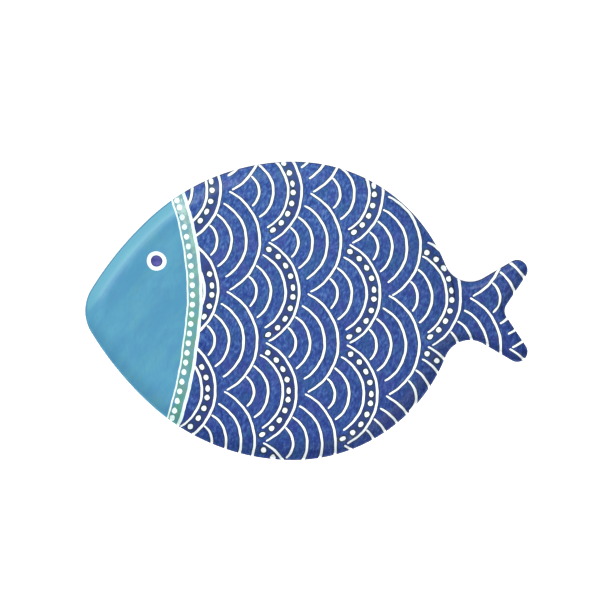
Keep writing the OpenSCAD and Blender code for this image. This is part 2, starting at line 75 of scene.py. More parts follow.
# Sizes of the outline, from the nose to the tail
body_low, body_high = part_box("platter_body")
NOSE_X = body_low.x
TIP_X = body_high.x
LENGTH = TIP_X - NOSE_X
HALF_WIDTH = body_high.y
NOSE_TO_WIDEST = 191 * MM
NOSE_RADIUS = 38 * MM
SHOULDER_TIGHTNESS = 12 * MM
CHEEK_SHARE = 0.65
TAIL_LENGTH = 53 * MM
WAIST_WIDTH = 54 * MM
WAIST_RADIUS = 24 * MM
TAIL_SPAN = 94 * MM
TIP_RADIUS = 9.6 * MM
NOTCH_DEPTH = 21 * MM
NOTCH_RADIUS = 10 * MM

# Sizes of the dish's section
LIP_Z = body_high.z
WALL = 3 * MM
LIP_RADIUS = 1.5 * MM
RIM_WIDTH = 18 * MM
RIM_RISE = 9.5 * MM
TAIL_RIM_WIDTH = 8 * MM
TAIL_RIM_RISE = 4.5 * MM
LIP_ROUNDING = 0.5 * MM
# How far the lip's underside drops from its middle, as a share of how far its top swells above it
LIP_DROP = 1.6
FOOT_HEIGHT = 3 * MM
FOOT_WIDTH = 5 * MM
FOOT_SETBACK = 4 * MM
FOOT_FILLET = 1.2 * MM
FOOT_ROUNDING = 0.8 * MM
FOOT_ROOT = 0.5 * MM
FOOT_CORNER = 22 * MM

# Sizes of the print
PRINT_TURN = -1.5 * DEGREE
FOIL = 0.35 * MM
INK_SINK = 0.03 * MM
BAND_LIFT = 0.03 * MM
HALO_LIFT = 0.045 * MM
EDGE_LIFT = 0.055 * MM
LINE_LIFT = 0.09 * MM
DOT_LIFT = 0.12 * MM
EDGE_ROOM = 0.12 * MM
COLUMN_STEP = 37.3 * MM
SCALE_PITCH = 92.2 * MM
FIRST_COLUMN = np.array([NOSE_X + 121.1 * MM, 16 * MM])
SCALE_COLUMNS = 9
SCALE_ROWS = 3
LINE_WIDTH = 2.6 * MM
LINE_EDGE = 0.65 * MM
LINE_END = 0.75
LINE_MIDDLE = 1.08
# By column and row, how far a scale lies from its place in the even pattern, how far it leans, and how
# tall its upper half is drawn
ScaleShift = namedtuple("ScaleShift", "across up lean tall")
EVEN = ScaleShift(0, 0, 0, 1)
SCALE_SHIFTS = {
    (5, 0): ScaleShift(-1.3 * MM, 0, 2.5 * DEGREE, 1),
    (6, 0): ScaleShift(-0.8 * MM, 1.2 * MM, 3 * DEGREE, 1.09),
}
DOTTED_COLUMNS = 7
DOT_RADIUS = 2.6 * MM
DOT_TURN = 13.65 * DEGREE
APEX_DOT_GAP = 10.9 * DEGREE
FIRST_DOT_TURN = 1 * DEGREE
# How far the dots of a row of scales, or of one scale, are turned along the band and moved out in it
DotPlace = namedtuple("DotPlace", "turn out")
ROW_DOTS = {
    1: DotPlace(5 * DEGREE, -1.6 * MM),
    0: DotPlace(0, 0.8 * MM),
    -1: DotPlace(-3.4 * DEGREE, -0.9 * MM),
}
SCALE_DOTS = {
    (4, -1): DotPlace(-4.9 * DEGREE, 0.6 * MM),
    (6, -1): DotPlace(1.3 * DEGREE, 0.3 * MM),
    (6, 0): DotPlace(0, -1.7 * MM),
}
# Column, row and number of the dots that have no room beside the gill band
CROWDED_DOTS = {(0, 0, 7)}
DOT_HALO = 1.3 * MM
# How far short of a scale's lower and upper ends its band stops, and how round the band's ends are
BAND_LOWER_GAP = 11 * DEGREE
BAND_UPPER_GAP = 6 * DEGREE
BAND_END_ROUND = 5 * DEGREE
# How much longer along its band each dot of a scale is, from the lower end to the upper one
DOT_STRETCH = (1.45, 1.1, 1.3, 1.05, 1.05, 1.5, 1.1, 1.3, 1.05, 1.05)
GILL_X = NOSE_X + 93.7 * MM
GILL_WIDTH = 12.3 * MM
GILL_RADIUS = 292 * MM
# The gill band isn't an even curve: it bows to the nose under the middle and straightens below that
GILL_BOW = 1.35 * MM
GILL_BOW_Y = -30 * MM
GILL_BOW_REACH = 26 * MM
GILL_STRAIGHT = 1.9 * MM
GILL_STRAIGHT_FROM = -60 * MM
GILL_STRAIGHT_REACH = 40 * MM
GILL_FRONT_LINE = 1.5 * MM
GILL_REAR_LINE = 2.9 * MM
GILL_DOT_RADIUS = 2.5 * MM
GILL_DOT_STEP = 8.9 * MM
GILL_DOT_INSET = 4.4 * MM
GILL_DOT_ROOM = 3 * MM
GILL_DOT_STRETCH = 1.15
# The gill band meets the foot of the rim farther out than this
GILL_LEAST_Y = HALF_WIDTH / 3
GILL_FIRST_DOT_Y = 3 * MM
EYE_PLACE = np.array([NOSE_X + 65 * MM, 45.9 * MM])
EYE_RADIUS = 8.95 * MM
PUPIL_RADIUS = 5.4 * MM
PUPIL_OVERLAP = 1.03
# Share of the way out over the white ring of the eye, and share of the ink's full height there
EYE_RING_SECTION = ((0, 0.7), (0.25, 1), (0.8, 1), (1, 0.2))
# How far the ring is drawn longer one way, which way, and how far it has corners
EYE_OVAL = 0.02
EYE_OVAL_TURN = 1.0
EYE_CORNERS = 0.012

# Each printed line of a scale: setback of its apex, its radius, how far short of a covering scale's
# outer line its upper and lower ends stop, and how much less it turns at its lower end
ScaleLine = namedtuple("ScaleLine", "back radius upper_gap lower_gap lower_trim", defaults=(0, 0, 0))
OUTER_LINE = ScaleLine(0, 50.7 * MM, lower_trim=3.5 * DEGREE)
SECOND_LINE = ScaleLine(12.4 * MM, 38.2 * MM, 2 * MM, 4.5 * MM, 6.5 * DEGREE)
THIRD_LINE = ScaleLine(26 * MM, 28 * MM, 1.6 * MM, 3.6 * MM)
INNER_LINE = ScaleLine(39.2 * MM, 17.6 * MM, 1.2 * MM, 3.2 * MM)
CUSP_TURN = math.asin(SCALE_PITCH / 2 / OUTER_LINE.radius)

# Counts of points along the stretches of the outline and down the section
NOSE_STEPS = 24
CHEEK_STEPS = 30
JAW_STEPS = 10
GILL_STEPS = 6
SHOULDER_STEPS = 40
BACK_STEPS = 60
WAIST_STEPS = 18
LOBE_ROOT_STEPS = 8
LOBE_STEPS = 10
TIP_STEPS = 12
LIP_STEPS = 6
RIM_STEPS = 16
RIM_CROWDING = 1.4
FLOOR_STEPS = 24
BULGE_COLUMNS = 20
LINE_STEP = 1.2 * MM
RIM_LINE_STEP = 0.7 * MM
LIP_LINE_STEP = 0.3 * MM
TEST_TURN = 0.5 * DEGREE
SHORTEST_RUN = 3
DOT_SIDES = 24
DOT_RINGS = 4
EDGE_DOT_RINGS = 12
EYE_SIDES = 72
BAND_ROWS = 25
FOOT_ROUND_STEPS = 4
FOOT_CROSS_STEPS = 24
CURVE_POINTS = 4000
GILL_LINE_POINTS = 600
GILL_TEST_POINTS = 2000

# Rounds of the steps that are repeated until they settle, and the small distances in use
INSIDE_ROUNDS = 3
RING_ROUNDS = 4
FOOT_ROUNDS = 60
FOOT_EASE = 0.5
NUDGE = 0.02 * MM
ARC_SLACK = 0.0001
MERGED_WITHIN = 0.002 * MM
SHORTEST_EDGE = 0.001 * MM
SHARP_EDGE = 40 * DEGREE


# Small tools
def vector(x, y):
    return np.array([x, y], float)


def direction(angle):
    return np.array([math.cos(angle), math.sin(angle)])


def directions(angles):
    return np.column_stack([np.cos(angles), np.sin(angles)])


def angle_of(p):
    return math.atan2(p[1], p[0])


def mix(a, b, t):
    return a + (b - a) * t


def turned(points, angle):
    c, s = math.cos(angle), math.sin(angle)
    return points @ np.array([[c, s], [-s, c]])


def smooth_min(a, b, reach):
    h = np.clip(0.5 + 0.5 * (b - a) / reach, 0, 1)
    return mix(b, a, h) - reach * h * (1 - h)


# Arcs and edges of the upper half of the outline, from the nose to the notch
Arc = namedtuple("Arc", "centre radius first last bulge")


def outline_arcs():
    widest = vector(NOSE_X + NOSE_TO_WIDEST, HALF_WIDTH)
    nose = vector(NOSE_X + NOSE_RADIUS, 0)
    plain = (NOSE_TO_WIDEST ** 2 + HALF_WIDTH ** 2 - 2 * NOSE_TO_WIDEST * NOSE_RADIUS)
    plain /= 2 * (HALF_WIDTH - NOSE_RADIUS)
    cheek_turn = mix(math.pi / 2, angle_of(nose - widest + vector(0, plain)), CHEEK_SHARE)
    shoulder_radius = plain - SHOULDER_TIGHTNESS
    shoulder = widest - vector(0, shoulder_radius)
    cheek_start = shoulder + shoulder_radius * direction(cheek_turn)
    reach = cheek_start - nose
    cheek_radius = (reach @ reach - NOSE_RADIUS ** 2) / (2 * (reach @ direction(cheek_turn) - NOSE_RADIUS))
    cheek = cheek_start - cheek_radius * direction(cheek_turn)
    nose_end = angle_of(nose - cheek)
    waist = vector(TIP_X - TAIL_LENGTH, WAIST_WIDTH / 2 + WAIST_RADIUS)
    run = waist[0] - widest[0]
    drop = HALF_WIDTH - WAIST_WIDTH / 2
    back_radius = (run ** 2 + (drop - WAIST_RADIUS) ** 2 - WAIST_RADIUS ** 2) / (2 * drop)
    back = widest - vector(0, back_radius)
    back_end = angle_of(waist - back)
    tip = vector(TIP_X - TIP_RADIUS, TAIL_SPAN / 2 - TIP_RADIUS)
    notch = vector(TIP_X - NOTCH_DEPTH + NOTCH_RADIUS, 0)
    lobe_turn = angle_of(tip - waist) - math.acos((WAIST_RADIUS + TIP_RADIUS) / np.linalg.norm(tip - waist))
    notch_turn = angle_of(tip - notch) + math.acos((NOTCH_RADIUS + TIP_RADIUS) / np.linalg.norm(tip - notch))
    return {
        "nose": Arc(nose, NOSE_RADIUS, math.pi, nose_end, 1),
        "cheek": Arc(cheek, cheek_radius, nose_end, cheek_turn, 1),
        "shoulder": Arc(shoulder, shoulder_radius, cheek_turn, math.pi / 2, 1),
        "back": Arc(back, back_radius, math.pi / 2, back_end, 1),
        "waist": Arc(waist, WAIST_RADIUS, back_end + math.pi, lobe_turn + 2 * math.pi, -1),
        "tip": Arc(tip, TIP_RADIUS, lobe_turn + math.pi, notch_turn - math.pi, 1),
        "notch": Arc(notch, NOTCH_RADIUS, notch_turn, math.pi, -1),
    }


def first_point(arc):
    return arc.centre + arc.radius * direction(arc.first)


def last_point(arc):
    return arc.centre + arc.radius * direction(arc.last)


ARCS = outline_arcs()
LOBE_OUTER_EDGE = (last_point(ARCS["waist"]), first_point(ARCS["tip"]))
LOBE_INNER_EDGE = (last_point(ARCS["tip"]), first_point(ARCS["notch"]))
BACK_END = last_point(ARCS["back"])


def depth_inside(points):
    """Distance of each point in from the outline, negative outside it."""
    upper = np.column_stack([points[:, 0], np.abs(points[:, 1])])
    depth = np.full(len(points), LENGTH)
    for arc in ARCS.values():
        reach = upper - arc.centre
        away = np.arctan2(reach[:, 1], reach[:, 0]) - (arc.first + arc.last) / 2
        away = np.abs((away + math.pi) % (2 * math.pi) - math.pi)
        beside = away <= abs(arc.last - arc.first) / 2 + ARC_SLACK
        across = arc.bulge * (arc.radius - np.linalg.norm(reach, axis=1))
        depth = np.where(beside, np.minimum(depth, across), depth)
    for start, end in (LOBE_OUTER_EDGE, LOBE_INNER_EDGE):
        run = end - start
        along = (upper - start) @ run / (run @ run)
        across = (upper - start) @ vector(run[1], -run[0]) / np.linalg.norm(run)
        depth = np.where((along >= 0) & (along <= 1), np.minimum(depth, across), depth)
    return depth


def kept_inside(points, room):
    """Moves points that lie outside the outline, or too near it, square in from it."""
    moved = points.copy()
    for _ in range(INSIDE_ROUNDS):
        depth = depth_inside(moved)
        slope_x = (depth_inside(moved + vector(NUDGE, 0)) - depth) / NUDGE
        slope_y = (depth_inside(moved + vector(0, NUDGE)) - depth) / NUDGE
        short = np.maximum(0, room - depth)
        moved = moved + np.column_stack([slope_x, slope_y]) * short[:, None]
    return moved


# Section of the dish, whose rim narrows and flattens from the body to the tail
def tail_blend(x):
    start = BACK_END[0] - RIM_WIDTH
    t = np.clip((x - start) / (ARCS["waist"].centre[0] - start), 0, 1)
    return t * t * (3 - 2 * t)


def rim_at(x):
    return mix(RIM_WIDTH, TAIL_RIM_WIDTH, tail_blend(x))


def section(depth, x):
    """Heights of the top and the underside at a depth in from the outline."""
    rim = rim_at(x) - LIP_RADIUS
    rise = mix(RIM_RISE, TAIL_RIM_RISE, tail_blend(x))
    share = np.minimum((depth - LIP_RADIUS) / rim, 1)
    slope = 2 * rise * (1 - share) / rim
    rim_top = LIP_Z - rise * (1 - (1 - share) ** 2)
    rim_under = rim_top - WALL * np.sqrt(1 + slope ** 2)
    half_lip = WALL * np.sqrt(1 + (2 * rise / rim) ** 2) / 2
    inward = np.clip(depth / LIP_RADIUS, 0, 1)
    swell = half_lip * np.sqrt(1 - (1 - inward) ** 2)
    middle = LIP_Z - half_lip
    drop = LIP_DROP * (swell + 2 * np.maximum(0, depth - LIP_RADIUS))
    top = smooth_min(middle + swell, rim_top, LIP_ROUNDING)
    under = -smooth_min(drop - middle, -rim_under, LIP_ROUNDING)
    at_edge = depth <= 0
    return np.where(at_edge, middle, top), np.where(at_edge, middle, under)


def foil_height(points):
    return section(depth_inside(points), points[:, 0])[0] + FOIL


def steepness(points):
    """Height of a layer on the dish, as a share of its thickness: 1 on the level, more on a slope."""
    depth = depth_inside(points)
    low, high = [section(depth + step, points[:, 0])[0] for step in (0, NUDGE)]
    return np.sqrt(1 + ((high - low) / NUDGE) ** 2)


def lifted(points, heights):
    return np.column_stack([points, heights])


# Curve of the gill band. The side is 1 on the upper half of the fish, and -1 on the lower one, mirrored
def gill_bow(heights):
    bow = np.exp(-((heights - GILL_BOW_Y) / GILL_BOW_REACH) ** 2)
    straight = np.clip((GILL_STRAIGHT_FROM - heights) / GILL_STRAIGHT_REACH, 0, 1) ** 2
    return GILL_STRAIGHT * straight - GILL_BOW * bow


def gill_curve(x, heights, side=1):
    """Points of the shallow curve across the fish that meets the middle line at x."""
    across = x - heights ** 2 / (2 * GILL_RADIUS) + gill_bow(side * heights)
    return turned(np.column_stack([across, heights]), side * PRINT_TURN)


def behind_gill(points, x, side=1):
    flat = turned(points, -side * PRINT_TURN)
    return flat[:, 0] + flat[:, 1] ** 2 / (2 * GILL_RADIUS) - gill_bow(side * flat[:, 1]) - x


def gill_angle(x, side):
    arc = ARCS["shoulder"]
    angles = np.linspace(arc.first, arc.last, CURVE_POINTS)
    points = arc.centre + arc.radius * directions(angles)
    return float(np.interp(0, behind_gill(points, x, side), angles))


# Columns: points of the outline, with the way in from each, for one half of the fish
def arc_columns(name, first, last, steps):
    arc = ARCS[name]
    ways = directions(np.linspace(first, last, steps + 1)[1:])
    return arc.centre + arc.radius * ways, -arc.bulge * ways


def whole_arc(name, steps):
    return arc_columns(name, ARCS[name].first, ARCS[name].last, steps)


def edge_columns(edge, steps):
    run = edge[1] - edge[0]
    shares = np.linspace(0, 1, steps + 1)[1:, None]
    way = vector(run[1], -run[0]) / np.linalg.norm(run)
    return edge[0] + shares * run, np.repeat(way[None], steps, axis=0)


def half_columns(side):
    front = gill_angle(GILL_X, side)
    rear = gill_angle(GILL_X + GILL_WIDTH, side)
    waist, tip = ARCS["waist"], ARCS["tip"]
    tip_middle = (tip.first + tip.last) / 2
    parts = [
        (vector(NOSE_X, 0)[None], vector(1, 0)[None]),
        whole_arc("nose", NOSE_STEPS),
        whole_arc("cheek", CHEEK_STEPS),
        arc_columns("shoulder", ARCS["shoulder"].first, front, JAW_STEPS),
        arc_columns("shoulder", front, rear, GILL_STEPS),
        arc_columns("shoulder", rear, math.pi / 2, SHOULDER_STEPS),
        whole_arc("back", BACK_STEPS),
        arc_columns("waist", waist.first, DOWN, WAIST_STEPS),
        arc_columns("waist", DOWN, waist.last, LOBE_ROOT_STEPS),
        edge_columns(LOBE_OUTER_EDGE, LOBE_STEPS),
        arc_columns("tip", tip.first, tip_middle, TIP_STEPS),
        arc_columns("tip", tip_middle, tip.last, TIP_STEPS),
        edge_columns(LOBE_INNER_EDGE, LOBE_STEPS),
        whole_arc("notch", LOBE_ROOT_STEPS),
    ]
    return np.vstack([p for p, _ in parts]), np.vstack([w for _, w in parts])


def mirrored(points):
    return points * vector(1, -1)


def inset_halves(depth):
    """Points of the upper and the lower half of the outline, moved in by a depth."""
    (upper, ways), (lower, lower_ways) = half_columns(1), half_columns(-1)
    return upper + ways * depth, mirrored(lower + lower_ways * depth)


# Numbers of the columns at the front and the rear of the gill band, at the waist and at the notch
FRONT = NOSE_STEPS + CHEEK_STEPS + JAW_STEPS
REAR = FRONT + GILL_STEPS
WAIST = REAR + SHOULDER_STEPS + BACK_STEPS + WAIST_STEPS
LAST = WAIST + 2 * (LOBE_ROOT_STEPS + LOBE_STEPS + TIP_STEPS)

LIP_DEPTHS = [LIP_RADIUS * (1 - math.cos(i * math.pi / 2 / LIP_STEPS)) for i in range(LIP_STEPS + 1)]
RIM_SHARES = [(i / RIM_STEPS) ** RIM_CROWDING for i in range(1, RIM_STEPS + 1)]


def ring_depths(ring, x):
    """Depth of a ring of points round the dish, counted from the edge to the foot of the rim."""
    if ring < len(LIP_DEPTHS):
        return np.full(len(x), LIP_DEPTHS[ring])
    return mix(LIP_RADIUS, rim_at(x), RIM_SHARES[ring - len(LIP_DEPTHS)])


RINGS = len(LIP_DEPTHS) + len(RIM_SHARES)


def gill_x(step):
    """Place on the middle line of one of the columns over the gill band."""
    return GILL_X + GILL_WIDTH * step / GILL_STEPS


def half_rings(side, follow_gill):
    """Points of every ring over one half of the fish, as rings by columns by two."""
    points, ways = half_columns(side)
    rings = []
    for ring in range(RINGS):
        inset = points
        for _ in range(RING_ROUNDS):
            inset = points + ways * ring_depths(ring, inset[:, 0])[:, None]
        rings.append(inset)
    rings = np.array(rings)
    if follow_gill:
        heights = np.linspace(HALF_WIDTH, GILL_LEAST_Y, CURVE_POINTS)
        for i in range(GILL_STEPS + 1):
            curve = gill_curve(gill_x(i), heights, side)
            wanted = [float(ring_depths(r, curve[:1, 0])[0]) for r in range(RINGS)]
            places = np.interp(wanted, depth_inside(curve), heights)
            rings[:, FRONT + i] = gill_curve(gill_x(i), places, side)
    return rings


# Meshes are lists of points and faces, with the faces counter-clockwise seen from outside
def grid_faces(rows, columns):
    return [(a, a + 1, a + columns + 1, a + columns)
            for r in range(rows - 1) for a in range(r * columns, (r + 1) * columns - 1)]


def tube_faces(rows, around, first=0, closed=False):
    """Faces between loops of points. If closed, the last loop is joined to the first one."""
    faces = []
    for r in range(rows if closed else rows - 1):
        near, far = first + r * around, first + (r + 1) % rows * around
        faces += [(near + c, far + c, far + (c + 1) % around, near + (c + 1) % around) for c in range(around)]
    return faces


def flipped(faces):
    return [tuple(reversed(f)) for f in faces]


def layer(top, bottom, faces):
    """A closed sheet between two surfaces that share their faces, which are listed as the top's."""
    count = len(top)
    edges = {(f[i], f[(i + 1) % len(f)]) for f in faces for i in range(len(f))}
    sides = [(a + count, b + count, b, a) for a, b in edges if (b, a) not in edges]
    under = [tuple(v + count for v in reversed(f)) for f in faces]
    return np.vstack([top, bottom]), list(faces) + under + sorted(sides)


def joined(meshes):
    points, faces, first = [], [], 0
    for mesh_points, mesh_faces in meshes:
        points.append(mesh_points)
        faces += [tuple(v + first for v in f) for f in mesh_faces]
        first += len(mesh_points)
    return np.vstack(points), faces


def make_piece(name, mesh, material, node=None):
    points, faces = mesh
    data = bpy.data.meshes.new(name)
    data.from_pydata([tuple(map(float, p)) for p in points], [], faces)
    work = bmesh.new()
    work.from_mesh(data)
    bmesh.ops.remove_doubles(work, verts=work.verts, dist=MERGED_WITHIN)
    bmesh.ops.dissolve_degenerate(work, edges=work.edges, dist=SHORTEST_EDGE)
    bmesh.ops.recalc_face_normals(work, faces=work.faces)
    work.to_mesh(data)
    work.free()
    data.shade_smooth()
    data.set_sharp_from_angle(angle=SHARP_EDGE)
    data.materials.append(material)
    piece = bpy.data.objects.new(name, data)
    bpy.context.scene.collection.objects.link(piece)
    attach(piece, "root")
    if node:
        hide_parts(node)


# The moulded body: a shell with a rounded lip, and the foot under its floor
def shell_mesh():
    upper = half_rings(1, False)
    lower = mirrored(half_rings(-1, False))
    whole = np.concatenate([upper, lower[:, LAST - 1:0:-1]], axis=1)
    around = whole.shape[1]
    points = []
    for side, rings in ((0, range(RINGS - 1, -1, -1)), (1, range(1, RINGS))):
        for ring in rings:
            flat = whole[ring]
            points.append(lifted(flat, section(ring_depths(ring, flat[:, 0]), flat[:, 0])[side]))
    faces = tube_faces(len(points), around)
    strips = [(i, i + 1, (around - i - 1) % around, (around - i) % around) for i in range(WAIST)]
    strips.append((WAIST, LAST, around - WAIST))
    for i in range((LAST - WAIST) // 2):
        near, far = WAIST + i, LAST - i
        strips.append((near, near + 1, far - 1, far))
        strips.append((around - far, around - far + 1, around - near - 1, around - near))
    for first in (0, (len(points) - 1) * around):
        faces += [tuple(first + v for v in dict.fromkeys(f)) for f in strips]
    return np.vstack(points), faces


def foot_profile():
    """Section of the foot: distance in from its outer face, and height."""
    quarter = [i * math.pi / 2 / FOOT_ROUND_STEPS for i in range(FOOT_ROUND_STEPS + 1)]
    high = FOOT_HEIGHT - FOOT_FILLET
    outer = [(FOOT_FILLET * (math.cos(a) - 1), high + FOOT_FILLET * math.sin(a)) for a in reversed(quarter)]
    corner = [(FOOT_ROUNDING * (1 - math.cos(a)), FOOT_ROUNDING * (1 - math.sin(a))) for a in quarter]
    half = [(-FOOT_FILLET, FOOT_HEIGHT + FOOT_ROOT)] + outer + corner
    return half + [(FOOT_WIDTH - x, z) for x, z in reversed(half)]


def foot_mesh():
    last = REAR + SHOULDER_STEPS + BACK_STEPS
    loops = []
    for inward, height in foot_profile():
        upper, lower = inset_halves(RIM_WIDTH + FOOT_SETBACK + inward)
        corners = upper[last], lower[last]
        across = [mix(*corners, t) for t in np.linspace(0, 1, FOOT_CROSS_STEPS + 1)[1:-1]]
        loop = np.vstack([upper[:last + 1], across, lower[last:0:-1]])
        for _ in range(FOOT_ROUNDS):
            near = np.min([np.linalg.norm(loop - corner, axis=1) for corner in corners], axis=0)
            weight = np.clip(1 - near / FOOT_CORNER, 0, 1)[:, None]
            between = (np.roll(loop, 1, 0) + np.roll(loop, -1, 0)) / 2
            loop = loop + weight * FOOT_EASE * (between - loop)
        loops.append(lifted(loop, np.full(len(loop), height)))
    return np.vstack(loops), tube_faces(len(loops), len(loops[0]), closed=True)


# The coloured foils on the dish: head, gill band and scales
FOIL_UPPER = half_rings(1, True)
FOIL_LOWER = mirrored(half_rings(-1, True))
INNER_RING = RINGS - 1


def gill_floor(x, upper, lower):
    """Points of a gill curve over the floor, between its ends at the foot of the rim."""
    heights = [turned(p[None], -PRINT_TURN)[0, 1] for p in (upper, lower)]
    return gill_curve(x, np.linspace(heights[0], heights[1], FLOOR_STEPS + 1))


def foil_layer(flat, faces):
    heights = section(depth_inside(flat), flat[:, 0])[0]
    return layer(lifted(flat, heights + FOIL), lifted(flat, heights), faces)


def head_mesh():
    columns = np.concatenate([FOIL_LOWER[:, FRONT:0:-1], FOIL_UPPER[:, :FRONT + 1]], axis=1)
    count = columns.shape[1]
    flat = columns.reshape(-1, 2)
    faces = flipped(grid_faces(RINGS, count))
    curve = gill_floor(GILL_X, columns[INNER_RING, -1], columns[INNER_RING, 0])[1:-1]
    first = INNER_RING * count
    border = list(range(first + count - 1, first - 1, -1))
    across = list(range(len(flat) + len(curve) - 1, len(flat) - 1, -1))
    faces.append(tuple(border + across))
    return foil_layer(np.vstack([flat, curve]), faces)


def gill_mesh():
    rows = [FOIL_UPPER[r, FRONT:REAR + 1] for r in range(RINGS)]
    floors = [gill_floor(gill_x(i), FOIL_UPPER[INNER_RING, FRONT + i], FOIL_LOWER[INNER_RING, FRONT + i])
              for i in range(GILL_STEPS + 1)]
    rows += [np.array([f[s] for f in floors]) for s in range(1, FLOOR_STEPS)]
    rows += [FOIL_LOWER[r, FRONT:REAR + 1] for r in range(RINGS - 1, -1, -1)]
    return foil_layer(np.vstack(rows), flipped(grid_faces(len(rows), GILL_STEPS + 1)))


def scale_mesh():
    columns = np.concatenate([FOIL_UPPER[:, REAR:LAST + 1], FOIL_LOWER[:, LAST - 1:REAR - 1:-1]], axis=1)
    count = columns.shape[1]
    flat = [columns.reshape(-1, 2)]
    faces = flipped(grid_faces(RINGS, count))
    first = INNER_RING * count
    inner = columns[INNER_RING]
    edge = gill_floor(GILL_X + GILL_WIDTH, inner[0], inner[-1])
    shares = np.linspace(0, 1, FLOOR_STEPS + 1)[:, None]
    bulge = edge - mix(inner[0], inner[-1], shares)
    placed = len(flat[0])
    rows = []
    for i in range(WAIST - REAR + 1):
        row = mix(inner[i], inner[count - 1 - i], shares) + bulge * max(0, 1 - i / BULGE_COLUMNS)
        flat.append(row[1:-1])
        rows.append([first + i] + list(range(placed, placed + FLOOR_STEPS - 1)) + [first + count - 1 - i])
        placed += FLOOR_STEPS - 1
    for near, far in zip(rows, rows[1:]):
        faces += [(near[s + 1], far[s + 1], far[s], near[s]) for s in range(FLOOR_STEPS)]
    notch = first + LAST - REAR
    faces += [(rows[-1][s + 1], notch, rows[-1][s]) for s in range(FLOOR_STEPS)]
    for i in range((LAST - WAIST) // 2):
        near, far = WAIST - REAR + i, LAST - REAR - i
        mirror_near, mirror_far = count - 1 - near, count - 1 - far
        pair = ((far, far - 1, near + 1, near), (mirror_near, mirror_near - 1, mirror_far + 1, mirror_far))
        faces += [tuple(first + v for v in dict.fromkeys(f)) for f in pair]
    return foil_layer(np.vstack(flat), faces)


# Printed lines: thin ribbons on the foil, drawn by hand, so that their width and place waver a little

# Places across a line, as shares of half its width, and shares of the ink's full height there
LINE_ACROSS = np.array([-1, -0.6, 0, 0.6, 1])
LINE_CROWN = np.array([0.2, 0.9, 1, 0.9, 0.2])
FINE_ACROSS = np.linspace(-1, 1, 13)
OVERRUN = 2.5 * MM
LEAST_DEPTH = 2 * MM
# Inset from the outline and width of the dark line of painted shade along the lip
LIP_SHADE_INSET = 0.5 * MM
LIP_SHADE_WIDTH = 0.8 * MM
SKIM_SLANT = 0.7
BLUNT_END = 0.02
# How far the place and the width of a line waver, and over which length
PLACE_WAVER = 0.16 * MM
PLACE_WAVE = 26 * MM
WIDTH_WAVER = 0.05
WIDTH_WAVE = 17 * MM
# The faster waver on top of each, as shares of the slow one's length and size
FAST_WAVE = 0.37
FAST_SHARE = 0.5
SWELL_POWER = 0.7
DOT_UNEVEN = 0.05
DOT_DOME = 0.8
Stroke = namedtuple("Stroke", "path cut_first cut_last")


def inked(flat, crown, lift, faces):
    """A thin layer of ink on the foil, kept inside the outline."""
    flat = kept_inside(flat, EDGE_ROOM)
    heights = foil_height(flat)
    top = heights + crown * lift * steepness(flat)
    return layer(lifted(flat, top), lifted(flat, heights - INK_SINK), faces)


def along_path(path):
    return np.concatenate([[0], np.cumsum(np.linalg.norm(np.diff(path, axis=0), axis=1))])


def path_points(path, places):
    """Points of a path at distances along it."""
    marks = along_path(path)
    return np.column_stack([np.interp(places, marks, path[:, k]) for k in range(2)])


def from_ends(stroke, marks):
    """Distance of places along a stroke from its nearest end that no edge cuts off."""
    far = np.full(len(marks), LENGTH)
    first = far if stroke.cut_first else marks
    last = far if stroke.cut_last else marks[-1] - marks
    return np.minimum(first, last)


def stations(stroke):
    """Distances along a stroke, close together at its ends and where the dish curves."""
    marks = along_path(stroke.path)
    fine = np.linspace(0, marks[-1], 2 + int(marks[-1] / LIP_LINE_STEP))
    line = path_points(stroke.path, fine)
    depth = depth_inside(line)
    on_lip = (depth < 2 * LIP_RADIUS) | (from_ends(stroke, fine) < LINE_WIDTH)
    step = np.where(on_lip, LIP_LINE_STEP, np.where(depth < rim_at(line[:, 0]), RIM_LINE_STEP, LINE_STEP))
    counted = np.concatenate([[0], np.cumsum(np.diff(fine) / step[1:])])
    return np.interp(np.linspace(0, counted[-1], 2 + int(counted[-1])), counted, fine)


def waver(places, size, length):
    phases = [drawing.uniform(0, 2 * math.pi) for _ in range(2)]
    slow = np.sin(2 * math.pi * places / length + phases[0])
    fast = np.sin(2 * math.pi * places / (FAST_WAVE * length) + phases[1])
    return size * (slow + FAST_SHARE * fast)


def shown_rows(flat):
    """Rows of points of a ribbon that reach the dish, with one more at either end."""
    rows, across, _ = flat.shape
    inside = depth_inside(flat.reshape(-1, 2)).reshape(rows, across).max(axis=1) > EDGE_ROOM
    shown = np.flatnonzero(inside)
    return flat[max(0, shown[0] - 1):shown[-1] + 2]


def skims_edge(line):
    """True if a line runs along the edge of the dish or meets it at a slant."""
    depth = depth_inside(line)
    slant = np.abs(np.gradient(depth, along_path(line)))
    return bool(np.any((np.abs(depth) < 2 * LIP_RADIUS) & (slant < SKIM_SLANT)))


def ribbon(stroke, width, lift, hand):
    """A line with round ends. The hand is the pair of wavers of its place and of its width."""
    marks = along_path(stroke.path)
    places = stations(stroke)
    line = path_points(stroke.path, places)
    ahead = np.gradient(line, axis=0)
    sides = np.column_stack([-ahead[:, 1], ahead[:, 0]])
    sides /= np.linalg.norm(sides, axis=1)[:, None]
    nearest = np.minimum(from_ends(stroke, places) / (width / 2), 1)
    round_end = np.sqrt(np.clip(1 - (1 - nearest) ** 2, BLUNT_END, 1))
    half = width / 2 * round_end * (1 + np.interp(places, marks, hand[1]))
    line = line + sides * np.interp(places, marks, hand[0])[:, None]
    across = FINE_ACROSS if width > LIP_SHADE_WIDTH and skims_edge(line) else LINE_ACROSS
    crown = np.interp(across, LINE_ACROSS, LINE_CROWN)
    flat = shown_rows(line[:, None] + sides[:, None] * (half[:, None] * across)[:, :, None])
    faces = flipped(grid_faces(len(flat), len(across)))
    return inked(flat.reshape(-1, 2), np.tile(crown, len(flat)), lift, faces)


